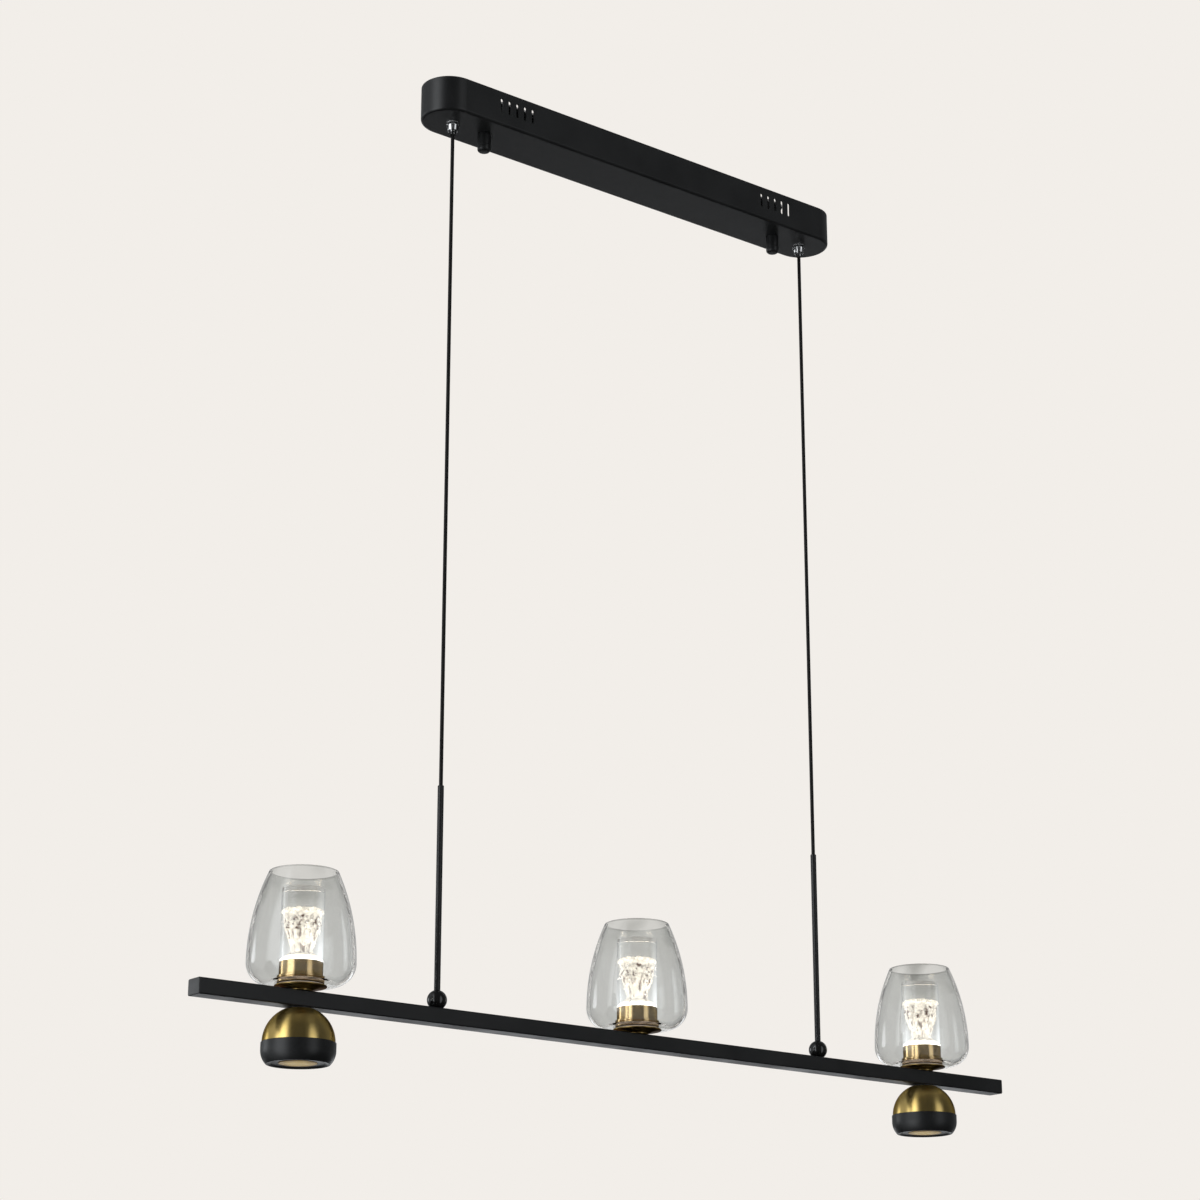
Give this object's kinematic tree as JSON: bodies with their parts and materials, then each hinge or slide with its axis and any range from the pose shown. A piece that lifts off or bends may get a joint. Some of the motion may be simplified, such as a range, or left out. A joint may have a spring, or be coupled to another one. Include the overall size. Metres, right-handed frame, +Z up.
{
  "type": "pendant light",
  "caption": "Linear pendant light: a cable-hung slim bar carries open clear glass shades round glowing crystal columns, with brass dome spots below.",
  "frame": {"origin": "centre of the ceiling bracket's upper face, on the ceiling plane", "axes": "+Z up into the ceiling, X along the bar, -Y towards the viewer of the picture"},
  "size_m": [1, 0.1, 1.0259],
  "materials": {
    "satin_black": "satin black powder coat",
    "gloss_black": "gloss black lacquer",
    "chrome": "polished",
    "steel": "zinc plated",
    "brass": "lathe-brushed, lacquered",
    "polished_brass": "polished, lacquered",
    "dark_brass": "darkened",
    "clear_glass": "clear, faintly grey",
    "crystal": "clear, polished",
    "bubble_light": "bubble-filled, lit from below",
    "led_white": "white light source",
    "white_plastic": "moulded",
    "gasket_rubber": "translucent silicone",
    "pad_foam": "foam tape",
    "cable_black": "smooth black sheath",
    "heat_sink": "cast",
    "amber_lens": "tan, frosted"
  },
  "bodies": {
    "canopy": {"canopy_shell": "satin_black", "mounting_bracket": "steel", "bracket_studs": "steel", "stud_nuts": "steel", "cap_nuts": "satin_black", "led_driver": "white_plastic", "driver_pad": "pad_foam", "terminal_block": "white_plastic", "gripper_nuts": "steel", "gripper_body_left": "chrome", "cable_tail_left": "cable_black", "gripper_body_right": "chrome", "cable_tail_right": "cable_black"},
    "release_left": {"gripper_plunger_left": "chrome", "gripper_balls_left": "steel"},
    "release_right": {"gripper_plunger_right": "chrome", "gripper_balls_right": "steel"},
    "suspension": {"suspension_cable_left": "cable_black", "suspension_cable_right": "cable_black"},
    "bar": {"bar_tube": "satin_black", "rod_nuts": "steel", "bar_harness": "cable_black", "lamp_nipples": "steel", "nipple_nuts": "steel", "shade_gaskets": "gasket_rubber", "clamp_rings": "polished_brass", "spot_necks": "satin_black", "rod_left": "satin_black", "ball_left": "gloss_black", "bar_end_cap_left": "satin_black", "rod_right": "satin_black", "ball_right": "gloss_black", "bar_end_cap_right": "satin_black", "shade_seat_left": "dark_brass", "glass_shade_left": "clear_glass", "lamp_cup_left": "polished_brass", "led_board_left": "led_white", "crystal_column_left": "crystal", "bubble_core_left": "bubble_light", "shade_seat_middle": "dark_brass", "glass_shade_middle": "clear_glass", "lamp_cup_middle": "polished_brass", "led_board_middle": "led_white", "crystal_column_middle": "crystal", "bubble_core_middle": "bubble_light", "shade_seat_right": "dark_brass", "glass_shade_right": "clear_glass", "lamp_cup_right": "polished_brass", "led_board_right": "led_white", "crystal_column_right": "crystal", "bubble_core_right": "bubble_light", "spot_dome_left": "brass", "spot_bezel_left": "satin_black", "spot_module_left": "heat_sink", "spot_lens_left": "amber_lens", "spot_dome_right": "brass", "spot_bezel_right": "satin_black", "spot_module_right": "heat_sink", "spot_lens_right": "amber_lens"}
  },
  "joints": [
    {"name": "swing", "type": "hinge", "parent": "canopy", "child": "suspension", "pos_m": [0, 0, -0.0533], "axis": [1, 0, 0], "range_deg": [-15, 15]},
    {"name": "height", "type": "slide", "parent": "suspension", "child": "bar", "axis": [0, 0, 1], "range_m": [0, 0.4], "deforming": ["suspension_cable_left", "suspension_cable_right"]},
    {"name": "release_left", "type": "slide", "parent": "canopy", "child": "release_left", "axis": [0, 0, 1], "range_m": [0, 0.002], "stiffness_N_per_m": 400, "springref_m": -0.002},
    {"name": "release_right", "type": "slide", "parent": "canopy", "child": "release_right", "axis": [0, 0, 1], "range_m": [0, 0.002], "stiffness_N_per_m": 400, "springref_m": -0.002}
  ]
}
